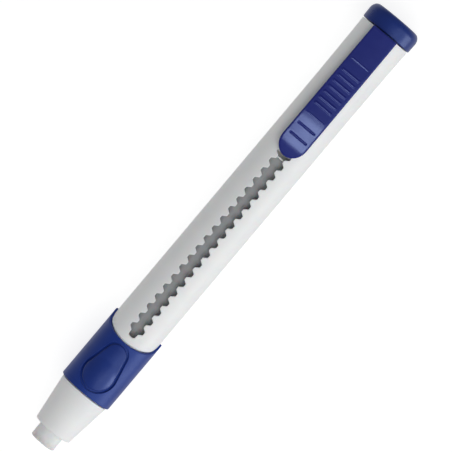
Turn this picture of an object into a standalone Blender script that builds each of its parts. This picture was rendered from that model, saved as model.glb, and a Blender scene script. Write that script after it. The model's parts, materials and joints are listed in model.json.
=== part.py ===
"""Slide-advance stick-eraser holder, modelled lying on its back.

+X runs along the barrel from the eraser to the end cap, +Z points up through the slot and the clip,
and z = 0 is the desk.  Places along the barrel are stations, measured from the eraser's tip.  Every
piece is built around the barrel's axis, so a height is measured from that axis too.
"""

import math

import bmesh
import bpy
from mathutils import Matrix, Vector

MM = 0.001

# Whole holder
TOTAL_LENGTH = 124.5 * MM
AXIS_HEIGHT = 7.25 * MM           # the axis above the desk, set by the back pad's crown
SEGMENTS = 64
CLEAR = 9.0 * MM                  # beyond every casing surface, for tools that cut right through

# Barrel
BARREL_RADIUS = 6.18 * MM
BARREL_REAR_RADIUS = 6.38 * MM
BORE_RADIUS = 5.0 * MM
BARREL_FRONT = 15.35 * MM
BARREL_REAR = 119.9 * MM
BARREL_EDGE = 0.15 * MM
FLARE_START = 98.0 * MM
WAIST_RADIUS = 5.6 * MM           # outside of the barrel where the sleeve covers it

# Toothed slot
NOTCH_COUNT = 20
NOTCH_PITCH = 2.83 * MM
FIRST_NOTCH = 34.1 * MM
NOTCH_FLOOR = 0.8 * MM
NOTCH_MOUTH = 2.05 * MM
NOTCH_HALF_WIDTH = 1.83 * MM
SLOT_HALF_WIDTH = 0.9 * MM
SLOT_FRONT = 31.75 * MM
SLOT_CUT_BOTTOM = 2.0 * MM

# Grip sleeve
SLEEVE_RADIUS = 6.66 * MM
SLEEVE_INNER_RADIUS = 5.75 * MM
SLEEVE_FRONT = 15.2 * MM
SLEEVE_CORNER = 0.25 * MM
SLEEVE_EDGE_STATION = 29.87 * MM  # the sleeve's upper edge in the middle of the front and the back
HORN_RISE = 4.4 * MM              # how far that edge climbs to the horns on its sides
HORN_STEADY_SHARE = 0.53          # share of the climb that grows evenly; the rest comes close to the horns
HORN_POWER = 6
HORN_STATION = SLEEVE_EDGE_STATION + HORN_RISE
RIM_GAP = 0.25 * MM

# Pads and their pockets
EGG_WIDE = (20.65 * MM, 3.98 * MM)        # station and radius of the outline's wide end
EGG_NARROW = (26.45 * MM, 2.70 * MM)
EGG_GAP = 0.25 * MM               # half the groove around a pad
POCKET_FLOOR_RADIUS = 6.1 * MM
PAD_INNER_RADIUS = 6.2 * MM
PAD_RADIUS = 6.61 * MM
PAD_CROWN = 7.25 * MM
PAD_CROWN_SIZE = (7.6 * MM, 4.8 * MM)     # half length and half width of the crown's ellipsoid
PAD_CROWN_STATION = 20.45 * MM

# Nose cone
NOSE_FRONT = 3.65 * MM
NOSE_MOUTH_RADIUS = 4.72 * MM
NOSE_REAR = 15.0 * MM
NOSE_REAR_RADIUS = 6.17 * MM
NOSE_LIP = 0.35 * MM
SPIGOT_END = 23.2 * MM
SPIGOT_RADIUS = 4.85 * MM
GUIDE_RADIUS = 3.35 * MM

# Eraser
ERASER_RADIUS = 3.15 * MM
ERASER_END = 83.5 * MM
ERASER_EDGE = 0.2 * MM

# End cap
CAP_FRONT = 120.15 * MM
CAP_RADIUS = 6.6 * MM
CAP_CORNER_LENGTH = 1.9 * MM
CAP_CORNER_DEPTH = 1.5 * MM
CAP_RIM = 0.2 * MM
PLUG_FRONT = 118.0 * MM
PLUG_RADIUS = 4.85 * MM
PLUG_BEAD = 0.08 * MM
PLUG_BEAD_SPACING = 0.6 * MM
PLUG_HOLLOW_RADIUS = 3.6 * MM
CAP_WALL = 1.6 * MM

# Latch: it sits in the rearmost notch when the eraser is new
LATCH_STATION = FIRST_NOTCH + (NOTCH_COUNT - 1) * NOTCH_PITCH
PRESS_ANGLE = math.radians(2.63)
PIVOT_STATION = 115.0 * MM
PIVOT_HEIGHT = 3.2 * MM
HEEL_RADIUS = 0.9 * MM
HEEL_HALF_WIDTH = 2.5 * MM
HEEL_NECK_HALF_LENGTH = 0.8 * MM
HEEL_NECK_TOP = 7.4 * MM          # inside the clip's body
NECK_HALF_WIDTH = 0.7 * MM
NECK_HALF_LENGTH = 1.5 * MM
NECK_END = 3.0 * MM
NECK_TOP = 8.4 * MM               # inside the clip's body
BARB = 0.4 * MM
BARB_INSET = 0.02 * MM
FOOT_HALF_LENGTH = 3.0 * MM
FOOT_HALF_WIDTH = 2.4 * MM
FOOT_BOTTOM = 3.4 * MM
FOOT_TOP = 4.2 * MM
LUG_HALF_WIDTH = 1.5 * MM
LUG_HALF_LENGTH = 0.4 * MM
LUG_TOP = 5.7 * MM
LUG_OVERLAP = 0.2 * MM
SLIDING_GAP = 0.15 * MM

# Slide clip
CLIP_REAR = 119.9 * MM
CLIP_FRONT = 84.75 * MM
CLIP_REAR_HALF_WIDTH = 3.3 * MM
CLIP_FRONT_HALF_WIDTH = 3.38 * MM
CLIP_NOSE_LENGTH = 3.9 * MM
CLIP_BLANK_HALF_WIDTH = 4.0 * MM
CLIP_BLANK_HEIGHTS = (4.0 * MM, 12.0 * MM)
SKIRT_HEIGHT = 6.1 * MM           # lower edge of the clip's sides at its rear end
SADDLE_RADIUS = 6.75 * MM
CLIP_EDGE = 0.4 * MM
RIB_STATIONS = tuple((108.0 - 1.59 * step) * MM for step in range(7))
FINE_LINE_STATIONS = (111.2 * MM, 95.7 * MM)
RIB_RADIUS = 0.4 * MM
RIB_SINK = 0.2 * MM
RIB_HALF_WIDTH = 2.2 * MM
GROOVE_STATIONS = (92.8 * MM, 89.95 * MM)
GROOVE_WIDTH = 0.6 * MM
GROOVE_DEPTH = 0.2 * MM
GROOVE_CUT = 1.0 * MM
# The clip's upper line, from the cap to the nose: (station, height above the axis)
CLIP_TOP = ((119.9 * MM, 8.2 * MM), (111.5 * MM, 8.8 * MM), (95.7 * MM, 10.0 * MM), (89.5 * MM, 9.8 * MM),
            (88.1 * MM, 9.65 * MM), (86.2 * MM, 9.1 * MM), (84.75 * MM, 8.6 * MM))

# Eraser carrier
CARRIER_RADIUS = 4.7 * MM
CLAW_FRONT = 75.3 * MM
CLAW_INNER_RADIUS = 3.28 * MM
CLAW_ROOT = 0.4 * MM              # left uncut in front of the block
BLOCK_FRONT = 83.9 * MM
BLOCK_REAR = 92.4 * MM
BLOCK_TOP = 1.6 * MM
CRADLE_FRONT = 112.3 * MM
CARRIER_REAR = 117.5 * MM
SPINE_INNER_RADIUS = 3.5 * MM
SPINE_TOP = -0.5 * MM
CLAW_SLITS = ((0.0, 4.0 * MM), (120.0, 1.2 * MM), (240.0, 1.2 * MM))      # degrees from the top, width
OVERCUT = 1.0 * MM                # how far a cutter runs past the face it opens

# Return spring
SPRING_RADIUS = 1.3 * MM
SPRING_WIRE_RADIUS = 0.175 * MM
SPRING_BOTTOM = -2.35 * MM
SPRING_TOP = 2.95 * MM
SPRING_TURNS = 6
SPRING_STEPS_PER_TURN = 12
POCKET_RADIUS = 1.75 * MM
POCKET_FLOOR = -2.4 * MM

ALONG_X = (0.0, math.pi / 2, 0.0)         # turns a bar that stands up so that it lies along the barrel
ALONG_Y = (math.pi / 2, 0.0, 0.0)         # turns a bar that stands up so that it lies across the barrel
WELD = 0.000001


def place(station, height=0.0, side=0.0):
    """World position of a point given by its station, its height above the axis and its side offset."""
    return Vector((station - TOTAL_LENGTH / 2, side, AXIS_HEIGHT + height))


def material(name, colour, roughness, metallic=0.0):
    """Principled material with one colour."""
    made = bpy.data.materials.new(name)
    made.use_nodes = True
    shader = made.node_tree.nodes["Principled BSDF"]
    shader.inputs["Base Color"].default_value = (*colour, 1.0)
    shader.inputs["Roughness"].default_value = roughness
    shader.inputs["Metallic"].default_value = metallic
    made.diffuse_color = (*colour, 1.0)
    return made


def link(name, mesh, cutter=False):
    """Object for a mesh, in the parts collection or hidden among the cutters."""
    obj = bpy.data.objects.new(name, mesh)
    if cutter:
        obj.hide_render = True
        obj.display_type = "WIRE"
        CUTTERS.objects.link(obj)
    else:
        PARTS.objects.link(obj)
    return obj


def smooth(mesh):
    """Round faces shaded smooth, with edges above 35 degrees kept sharp."""
    mesh.shade_smooth()
    mesh.set_sharp_from_angle(angle=math.radians(35))


def turned(name, profile, closed=True, cutter=False, segments=SEGMENTS):
    """Solid turned about the barrel's axis from (station, radius) points.

    A closed profile makes a tube; an open one starts and ends on the axis and makes a solid.
    """
    area = sum(a[0] * b[1] - b[0] * a[1] for a, b in zip(profile, profile[1:] + profile[:1]))
    ordered = list(profile) if area > 0 else list(reversed(profile))
    mesh = bpy.data.meshes.new(name)
    shaper = bmesh.new()
    points = [shaper.verts.new((radius, 0.0, station)) for station, radius in ordered]
    for first, second in zip(points, points[1:]):
        shaper.edges.new((first, second))
    if closed:
        shaper.edges.new((points[-1], points[0]))
    shaper.to_mesh(mesh)
    shaper.free()
    obj = link(name, mesh, cutter)
    obj.location = place(0.0)
    obj.rotation_euler = (0.0, math.pi / 2, 0.0)
    screw = obj.modifiers.new("Turn", "SCREW")
    screw.steps = segments
    screw.render_steps = segments
    screw.use_merge_vertices = True
    screw.merge_threshold = WELD
    screw.use_smooth_shade = True
    return obj


def flat_solid(name, outline, low, high, upright=False, cutter=True):
    """Solid with a flat outline.

    The outline is (station, side) points extruded from height low to high, or, when upright, (station,
    height) points extruded sideways from low to high.
    """
    curve = bpy.data.curves.new(name, "CURVE")
    curve.dimensions = "2D"
    curve.fill_mode = "BOTH"
    curve.extrude = (high - low) / 2
    spline = curve.splines.new("POLY")
    spline.points.add(len(outline) - 1)
    for point, (along, across) in zip(spline.points, outline):
        point.co = (along, across, 0.0, 1.0)
    spline.use_cyclic_u = True
    guide = bpy.data.objects.new(name + "_curve", curve)
    PARTS.objects.link(guide)
    if upright:
        guide.rotation_euler = (math.pi / 2, 0.0, 0.0)
        guide.location = place(0.0, side=(low + high) / 2)
    else:
        guide.location = place(0.0, height=(low + high) / 2)
    return mesh_from_curve(guide, name, cutter)


def mesh_from_curve(guide, name, cutter=False):
    """Closed mesh object that takes a curve object's place."""
    bpy.context.view_layer.update()
    mesh = bpy.data.meshes.new_from_object(guide.evaluated_get(bpy.context.evaluated_depsgraph_get()))
    shaper = bmesh.new()
    shaper.from_mesh(mesh)
    bmesh.ops.remove_doubles(shaper, verts=shaper.verts, dist=WELD)
    bmesh.ops.recalc_face_normals(shaper, faces=shaper.faces)
    shaper.to_mesh(mesh)
    shaper.free()
    obj = link(name, mesh, cutter)
    obj.matrix_world = guide.matrix_world.copy()
    bpy.data.objects.remove(guide, do_unlink=True)
    return obj


def box(name, stations, sides, heights, cutter=True):
    """Box between two stations, two side offsets and two heights."""
    mesh = bpy.data.meshes.new(name)
    shaper = bmesh.new()
    bmesh.ops.create_cube(shaper, size=1.0)
    spans = [pair[1] - pair[0] for pair in (stations, sides, heights)]
    middle = place(sum(stations) / 2, sum(heights) / 2, sum(sides) / 2)
    bmesh.ops.scale(shaper, vec=spans, verts=shaper.verts)
    shaper.to_mesh(mesh)
    shaper.free()
    obj = link(name, mesh, cutter)
    obj.location = middle
    return obj


def round_bar(name, centre, radius, length, turn=(0.0, 0.0, 0.0), segments=24, cutter=True):
    """Cylinder at a world point; its length runs along Z before the turn."""
    mesh = bpy.data.meshes.new(name)
    shaper = bmesh.new()
    bmesh.ops.create_cone(shaper, cap_ends=True, segments=segments,
                          radius1=radius, radius2=radius, depth=length)
    shaper.to_mesh(mesh)
    shaper.free()
    obj = link(name, mesh, cutter)
    obj.location = centre
    obj.rotation_euler = turn
    return obj


def combine(obj, tool, operation):
    """Boolean of an object with a tool from the cutters collection."""
    step = obj.modifiers.new(tool.name, "BOOLEAN")
    step.operation = operation
    step.solver = "EXACT"
    step.object = tool
    return obj


def arc(centre, radius, start, end, steps):
    """Points on an arc, angles in degrees."""
    angles = [math.radians(start + (end - start) * step / steps) for step in range(steps + 1)]
    return [(centre[0] + radius * math.cos(angle), centre[1] + radius * math.sin(angle)) for angle in angles]


def mirrored(points):
    """The same points on the other side, in reverse order."""
    return [(along, -across) for along, across in reversed(points)]


# ---------------------------------------------------------------- casing

def slot_outline():
    """Half the slot from its round front end, then the other half: notches, then plain to the rear."""
    half = arc((SLOT_FRONT + SLOT_HALF_WIDTH, 0.0), SLOT_HALF_WIDTH, 180, 90, 5)[1:]
    for index in range(NOTCH_COUNT):
        centre = FIRST_NOTCH + index * NOTCH_PITCH
        half.append((centre - NOTCH_MOUTH / 2, SLOT_HALF_WIDTH))
        half.append((centre - NOTCH_FLOOR / 2, NOTCH_HALF_WIDTH))
        half.append((centre + NOTCH_FLOOR / 2, NOTCH_HALF_WIDTH))
        half.append((centre + NOTCH_MOUTH / 2, SLOT_HALF_WIDTH))
    half.append((BARREL_REAR + OVERCUT, SLOT_HALF_WIDTH))
    return half + mirrored(half) + [(SLOT_FRONT, 0.0)]


def sleeve_edge(height):
    """Station of the sleeve's upper edge at a height above the axis, or as far below it."""
    side = max(0.0, 1 - abs(height) / SLEEVE_RADIUS)
    climb = HORN_STEADY_SHARE * side + (1 - HORN_STEADY_SHARE) * side ** HORN_POWER
    return SLEEVE_EDGE_STATION + HORN_RISE * climb


def grip_region(name, shift):
    """Solid that covers the grip up to the sleeve's upper edge, moved back by shift."""
    steps = 7
    shares = [(step / steps) ** 2 for step in range(1, steps + 1)]        # closer together near the horn
    heights = [SLEEVE_RADIUS * share for share in shares]
    upper = [(sleeve_edge(height) + shift, height) for height in heights]
    upper += [(sleeve_edge(CLEAR) + shift, CLEAR), (SLEEVE_FRONT - OVERCUT, CLEAR)]
    outline = [(HORN_STATION + shift, 0.0)] + upper + mirrored(upper)
    return flat_solid(name, outline, -CLEAR, CLEAR, upright=True)


def build_barrel(plastic):
    """Tube with the toothed slot, stepped down where the sleeve covers it."""
    profile = [(BARREL_FRONT, BORE_RADIUS), (BARREL_FRONT, BARREL_RADIUS), (FLARE_START, BARREL_RADIUS)]
    flare_steps = 4
    for step in range(1, flare_steps + 1):
        part = step / flare_steps
        station = FLARE_START + (BARREL_REAR - BARREL_EDGE - FLARE_START) * part
        profile.append((station, BARREL_RADIUS + (BARREL_REAR_RADIUS - BARREL_RADIUS) * part * part))
    profile += [(BARREL_REAR, BARREL_REAR_RADIUS - BARREL_EDGE), (BARREL_REAR, BORE_RADIUS)]
    barrel = turned("barrel", profile)
    waist_front = BARREL_FRONT - OVERCUT
    waist_rear = HORN_STATION + OVERCUT
    waist_profile = [(waist_front, WAIST_RADIUS), (waist_front, CLEAR - OVERCUT),
                     (waist_rear, CLEAR - OVERCUT), (waist_rear, WAIST_RADIUS)]
    waist = turned("barrel_waist", waist_profile, cutter=True)
    combine(waist, grip_region("barrel_waist_edge", RIM_GAP), "INTERSECT")
    combine(barrel, waist, "DIFFERENCE")
    slot = flat_solid("barrel_slot", slot_outline(), SLOT_CUT_BOTTOM, CLEAR)
    combine(barrel, slot, "DIFFERENCE")
    barrel.data.materials.append(plastic)
    return barrel


def egg_outline(offset):
    """Outline of a pad: the hull of a wide and a narrow circle, grown by offset."""
    wide_station, wide_radius = EGG_WIDE
    narrow_station, narrow_radius = EGG_NARROW
    lean = math.degrees(math.asin((wide_radius - narrow_radius) / (narrow_station - wide_station)))
    tangent = 90 - lean
    wide = arc((wide_station, 0.0), wide_radius + offset, tangent, 360 - tangent, 20)
    narrow = arc((narrow_station, 0.0), narrow_radius + offset, -tangent, tangent, 12)
    return wide + narrow


def build_sleeve(plastic):
    """Grip sleeve with a U-shaped upper edge and an egg-shaped pocket front and back."""
    corner = arc((SLEEVE_FRONT + SLEEVE_CORNER, SLEEVE_RADIUS - SLEEVE_CORNER), SLEEVE_CORNER, 180, 90, 3)
    rear = HORN_STATION + OVERCUT
    profile = [(SLEEVE_FRONT, SLEEVE_INNER_RADIUS)] + corner
    profile += [(rear, SLEEVE_RADIUS), (rear, SLEEVE_INNER_RADIUS)]
    sleeve = turned("grip_sleeve", profile)
    combine(sleeve, grip_region("sleeve_edge", 0.0), "INTERSECT")
    pockets = flat_solid("sleeve_pockets", egg_outline(EGG_GAP), -CLEAR, CLEAR)
    length = 2 * HORN_STATION
    floor = round_bar("pocket_floor", place(length / 2), POCKET_FLOOR_RADIUS, length, ALONG_X, SEGMENTS)
    combine(pockets, floor, "DIFFERENCE")
    combine(sleeve, pockets, "DIFFERENCE")
    sleeve.data.materials.append(plastic)
    return sleeve


def build_pad(name, side, plastic):
    """Crowned pad in a pocket of the sleeve; side is 1 for the slot's side and -1 for the back."""
    low, high = sorted((side * WAIST_RADIUS / 2, side * CLEAR))
    pad = flat_solid(name, egg_outline(-EGG_GAP), low, high, cutter=False)
    length = 2 * HORN_STATION
    middle = place(length / 2)
    blank = round_bar(name + "_blank", middle, PAD_RADIUS, length, ALONG_X, SEGMENTS)
    crown = bpy.data.meshes.new(name + "_crown")
    shaper = bmesh.new()
    crown_segments = 32
    bmesh.ops.create_uvsphere(shaper, u_segments=crown_segments, v_segments=24, radius=1.0)
    # Half a segment of turn keeps the sphere's edges off the blank's edges
    half_turn = Matrix.Rotation(math.pi / crown_segments, 3, "Z")
    bmesh.ops.rotate(shaper, verts=shaper.verts, cent=(0.0, 0.0, 0.0), matrix=half_turn)
    half_length, half_width = PAD_CROWN_SIZE
    bmesh.ops.scale(shaper, vec=(half_length, half_width, half_width), verts=shaper.verts)
    shaper.to_mesh(crown)
    shaper.free()
    dome = link(name + "_crown", crown, cutter=True)
    dome.location = place(PAD_CROWN_STATION, side * (PAD_CROWN - half_width))
    combine(blank, dome, "UNION")
    combine(pad, blank, "INTERSECT")
    core = round_bar(name + "_core", middle, PAD_INNER_RADIUS, length + OVERCUT, ALONG_X, SEGMENTS)
    combine(pad, core, "DIFFERENCE")
    smooth(pad.data)
    pad.data.materials.append(plastic)
    return pad


def build_nose(plastic):
    """Tapered nose with a spigot for the barrel and a guide bore for the eraser."""
    mouth = arc((NOSE_FRONT + NOSE_LIP, NOSE_MOUTH_RADIUS - NOSE_LIP), NOSE_LIP, 180, 95, 3)
    profile = [(NOSE_FRONT, GUIDE_RADIUS + NOSE_LIP)] + mouth
    profile += [(NOSE_REAR, NOSE_REAR_RADIUS), (NOSE_REAR, SPIGOT_RADIUS)]
    profile += [(SPIGOT_END - NOSE_LIP, SPIGOT_RADIUS), (SPIGOT_END, SPIGOT_RADIUS - NOSE_LIP)]
    profile += [(SPIGOT_END, GUIDE_RADIUS), (NOSE_FRONT + NOSE_LIP, GUIDE_RADIUS)]
    nose = turned("nose_cone", profile)
    nose.data.materials.append(plastic)
    return nose


def build_cap(plastic):
    """End cap with a rounded end and a hollow, beaded plug that closes the barrel."""
    corner_station = TOTAL_LENGTH - CAP_CORNER_LENGTH
    corner_radius = CAP_RADIUS - CAP_CORNER_DEPTH
    quarter = arc((0.0, 0.0), 1.0, 90, 0, 6)
    corner = [(corner_station + CAP_CORNER_LENGTH * along, corner_radius + CAP_CORNER_DEPTH * out)
              for along, out in quarter]
    groove = PLUG_RADIUS - PLUG_BEAD
    hollow_end = TOTAL_LENGTH - CAP_WALL
    profile = [(hollow_end, 0.0), (hollow_end, PLUG_HOLLOW_RADIUS)]
    profile += [(PLUG_FRONT, PLUG_HOLLOW_RADIUS), (PLUG_FRONT, groove)]
    profile += [(PLUG_FRONT + PLUG_BEAD_SPACING, PLUG_RADIUS + PLUG_BEAD)]
    profile += [(PLUG_FRONT + 2 * PLUG_BEAD_SPACING, groove), (CAP_FRONT, groove)]
    profile += [(CAP_FRONT, CAP_RADIUS - CAP_RIM), (CAP_FRONT + CAP_RIM, CAP_RADIUS)] + corner
    profile += [(TOTAL_LENGTH, 0.0)]
    cap = turned("end_cap", profile, closed=False)
    cap.data.materials.append(plastic)
    return cap


# ---------------------------------------------------------------- moving pieces

def build_eraser(vinyl):
    """Round eraser refill with slightly worn edges."""
    edge_radius = ERASER_RADIUS - ERASER_EDGE
    profile = [(0.0, 0.0), (0.0, edge_radius), (ERASER_EDGE, ERASER_RADIUS)]
    profile += [(ERASER_END - ERASER_EDGE, ERASER_RADIUS), (ERASER_END, edge_radius), (ERASER_END, 0.0)]
    eraser = turned("eraser_stick", profile, closed=False)
    eraser.data.materials.append(vinyl)
    return eraser


def build_carrier(plastic):
    """Claws around the eraser's tail, a block for the latch, a spine and the clip's cradle."""
    profile = [(BLOCK_FRONT, 0.0), (BLOCK_FRONT, CLAW_INNER_RADIUS), (CLAW_FRONT, CLAW_INNER_RADIUS),
               (CLAW_FRONT, CARRIER_RADIUS), (CARRIER_REAR, CARRIER_RADIUS), (CARRIER_REAR, 0.0)]
    carrier = turned("eraser_carrier", profile, closed=False, segments=48)
    reach = CARRIER_RADIUS + OVERCUT
    for angle, width in CLAW_SLITS:
        slit = box("claw_slit_%d" % angle, (CLAW_FRONT - OVERCUT, BLOCK_FRONT - CLAW_ROOT),
                   (-width / 2, width / 2), (0.0, reach))
        slit.data.transform(Matrix.Translation((0.0, 0.0, reach / 2)))
        slit.location -= Vector((0.0, 0.0, reach / 2))
        slit.rotation_euler = (math.radians(angle), 0.0, 0.0)
        combine(carrier, slit, "DIFFERENCE")
    over_block = box("over_block", (BLOCK_FRONT, CRADLE_FRONT), (-reach, reach), (BLOCK_TOP, reach))
    combine(carrier, over_block, "DIFFERENCE")
    over_spine = box("over_spine", (BLOCK_REAR, CRADLE_FRONT), (-reach, reach),
                     (SPINE_TOP, BLOCK_TOP + OVERCUT))
    combine(carrier, over_spine, "DIFFERENCE")
    spine_middle = (BLOCK_REAR + CRADLE_FRONT) / 2
    channel = round_bar("spine_channel", place(spine_middle), SPINE_INNER_RADIUS, CRADLE_FRONT - BLOCK_REAR,
                        ALONG_X, 32)
    combine(carrier, channel, "DIFFERENCE")
    over_cradle = box("over_cradle", (CRADLE_FRONT - OVERCUT, CARRIER_REAR + OVERCUT), (-reach, reach),
                      (PIVOT_HEIGHT, reach))
    combine(carrier, over_cradle, "DIFFERENCE")
    groove = round_bar("cradle_groove", place(PIVOT_STATION, PIVOT_HEIGHT), HEEL_RADIUS + SLIDING_GAP,
                       2 * reach, ALONG_Y)
    combine(carrier, groove, "DIFFERENCE")
    depth = BLOCK_TOP + OVERCUT - POCKET_FLOOR
    pocket = round_bar("spring_pocket", place(LATCH_STATION, POCKET_FLOOR + depth / 2), POCKET_RADIUS, depth)
    combine(carrier, pocket, "DIFFERENCE")
    carrier.data.materials.append(plastic)
    return carrier


def clip_plan():
    """The clip seen from above: nearly parallel sides and a rounded front end."""
    nose_start = CLIP_FRONT + CLIP_NOSE_LENGTH
    steps = 8
    half = [(CLIP_REAR, CLIP_REAR_HALF_WIDTH)]
    for along, across in arc((0.0, 0.0), 1.0, 0, 90, steps):
        half.append((nose_start - CLIP_NOSE_LENGTH * across, CLIP_FRONT_HALF_WIDTH * along))
    return half + mirrored(half[:-1])


def build_clip(plastic):
    """Slide clip: thumb rest, ribs, saddle-shaped underside, latch neck and heel."""
    skirt_front = SKIRT_HEIGHT + (CLIP_REAR - CLIP_FRONT) * math.tan(PRESS_ANGLE)
    side = list(CLIP_TOP) + [(CLIP_FRONT, skirt_front), (CLIP_REAR, SKIRT_HEIGHT)]
    clip = flat_solid("slide_clip", side, -CLIP_BLANK_HALF_WIDTH, CLIP_BLANK_HALF_WIDTH,
                      upright=True, cutter=False)
    plan = flat_solid("clip_plan", clip_plan(), *CLIP_BLANK_HEIGHTS)
    combine(clip, plan, "INTERSECT")
    rounding = clip.modifiers.new("Rounding", "BEVEL")
    rounding.width = CLIP_EDGE
    rounding.segments = 3
    rounding.limit_method = "ANGLE"
    rounding.angle_limit = math.radians(55)
    rounding.use_clamp_overlap = True

    pivot = place(PIVOT_STATION, PIVOT_HEIGHT)
    middle = place((CLIP_FRONT + CLIP_REAR) / 2)
    saddle = round_bar("clip_saddle", middle, SADDLE_RADIUS, 2 * (CLIP_REAR - CLIP_FRONT), ALONG_X, 72)
    raised = Matrix.Translation(pivot) @ Matrix.Rotation(PRESS_ANGLE, 4, "Y") @ Matrix.Translation(-pivot)
    saddle.matrix_world = raised @ Matrix.LocRotScale(saddle.location, saddle.rotation_euler, None)
    combine(clip, saddle, "DIFFERENCE")

    for index, station in enumerate(GROOVE_STATIONS):
        floor = top_height(station) - GROOVE_DEPTH
        cut = box("clip_groove_%d" % index, (station - GROOVE_WIDTH / 2, station + GROOVE_WIDTH / 2),
                  (-RIB_HALF_WIDTH, RIB_HALF_WIDTH), (floor, floor + GROOVE_CUT))
        combine(clip, cut, "DIFFERENCE")
    for index, station in enumerate(FINE_LINE_STATIONS + RIB_STATIONS):
        rib = round_bar("clip_rib_%d" % index, place(station, top_height(station) - RIB_SINK), RIB_RADIUS,
                        2 * RIB_HALF_WIDTH, ALONG_Y, 10)
        combine(clip, rib, "UNION")

    neck = box("clip_neck", (LATCH_STATION - NECK_HALF_LENGTH, LATCH_STATION + NECK_HALF_LENGTH),
               (-NECK_HALF_WIDTH, NECK_HALF_WIDTH), (NECK_END, NECK_TOP))
    combine(clip, neck, "UNION")
    barb_reach = NECK_HALF_LENGTH + BARB
    barb_half_width = NECK_HALF_WIDTH - BARB_INSET
    barbs = box("clip_barbs", (LATCH_STATION - barb_reach, LATCH_STATION + barb_reach),
                (-barb_half_width, barb_half_width), (NECK_END + BARB_INSET, FOOT_BOTTOM - SLIDING_GAP))
    combine(clip, barbs, "UNION")
    heel_span = (PIVOT_STATION - HEEL_NECK_HALF_LENGTH, PIVOT_STATION + HEEL_NECK_HALF_LENGTH)
    heel_neck = box("clip_heel_neck", heel_span, (-NECK_HALF_WIDTH, NECK_HALF_WIDTH),
                    (PIVOT_HEIGHT, HEEL_NECK_TOP))
    combine(clip, heel_neck, "UNION")
    heel = round_bar("clip_heel", pivot, HEEL_RADIUS, 2 * HEEL_HALF_WIDTH, ALONG_Y)
    combine(clip, heel, "UNION")
    clip.data.materials.append(plastic)
    return clip


def top_height(station):
    """Height of the clip's upper line at a station."""
    for (rear, rear_height), (front, front_height) in zip(CLIP_TOP, CLIP_TOP[1:]):
        if front <= station <= rear:
            part = (rear - station) / (rear - front)
            return rear_height + (front_height - rear_height) * part
    raise ValueError("station is off the clip")


def build_foot(plastic):
    """Plate under the barrel's wall with two lugs that rise into a pair of notches."""
    foot = box("latch_foot", (LATCH_STATION - FOOT_HALF_LENGTH, LATCH_STATION + FOOT_HALF_LENGTH),
               (-FOOT_HALF_WIDTH, FOOT_HALF_WIDTH), (FOOT_BOTTOM, FOOT_TOP), cutter=False)
    lugs = box("foot_lugs", (LATCH_STATION - LUG_HALF_LENGTH, LATCH_STATION + LUG_HALF_LENGTH),
               (-LUG_HALF_WIDTH, LUG_HALF_WIDTH), (FOOT_TOP - LUG_OVERLAP, LUG_TOP))
    combine(foot, lugs, "UNION")
    hole_half_length = NECK_HALF_LENGTH + SLIDING_GAP
    hole_half_width = NECK_HALF_WIDTH + SLIDING_GAP
    hole = box("foot_hole", (LATCH_STATION - hole_half_length, LATCH_STATION + hole_half_length),
               (-hole_half_width, hole_half_width), (FOOT_BOTTOM - OVERCUT, LUG_TOP + OVERCUT))
    combine(foot, hole, "DIFFERENCE")
    foot.data.materials.append(plastic)
    return foot


def build_spring(steel):
    """Compression coil in the carrier's pocket, with a flat turn at each end."""
    curve = bpy.data.curves.new("return_spring", "CURVE")
    curve.dimensions = "3D"
    curve.bevel_depth = SPRING_WIRE_RADIUS
    curve.bevel_resolution = 2
    curve.use_fill_caps = True
    steps = SPRING_TURNS * SPRING_STEPS_PER_TURN
    spline = curve.splines.new("POLY")
    spline.points.add(steps)
    low = SPRING_BOTTOM + SPRING_WIRE_RADIUS
    high = SPRING_TOP - SPRING_WIRE_RADIUS
    flat_rise = 2.4 * SPRING_WIRE_RADIUS          # rise over an end turn, so that its wires just clear
    for step, point in enumerate(spline.points):
        turn = step / SPRING_STEPS_PER_TURN
        if turn < 1:
            height = low + flat_rise * turn
        elif turn > SPRING_TURNS - 1:
            height = high - flat_rise * (SPRING_TURNS - turn)
        else:
            open_rise = high - low - 2 * flat_rise
            height = low + flat_rise + open_rise * (turn - 1) / (SPRING_TURNS - 2)
        angle = 2 * math.pi * turn
        point.co = (SPRING_RADIUS * math.cos(angle), SPRING_RADIUS * math.sin(angle), height, 1.0)
    guide = bpy.data.objects.new("return_spring_curve", curve)
    PARTS.objects.link(guide)
    guide.location = place(LATCH_STATION)
    spring = mesh_from_curve(guide, "return_spring")
    smooth(spring.data)
    spring.data.materials.append(steel)
    return spring


# ---------------------------------------------------------------- assembly

def empty(name, location, parent=None):
    """Empty that marks a body's origin."""
    made = bpy.data.objects.new(name, None)
    PARTS.objects.link(made)
    made.empty_display_size = 5.0 * MM
    made.location = location
    if parent is not None:
        made.parent = parent
        made.location = location - world_location(parent)
    return made


def world_location(obj):
    """World location of an unrotated empty in a chain of unrotated empties."""
    total = obj.location.copy()
    while obj.parent is not None:
        obj = obj.parent
        total += obj.location
    return total


def attach(pieces, parent):
    """Parent pieces to an empty without moving them."""
    for piece in pieces:
        piece.parent = parent
        piece.matrix_parent_inverse = Matrix.Translation(-world_location(parent))


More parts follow.
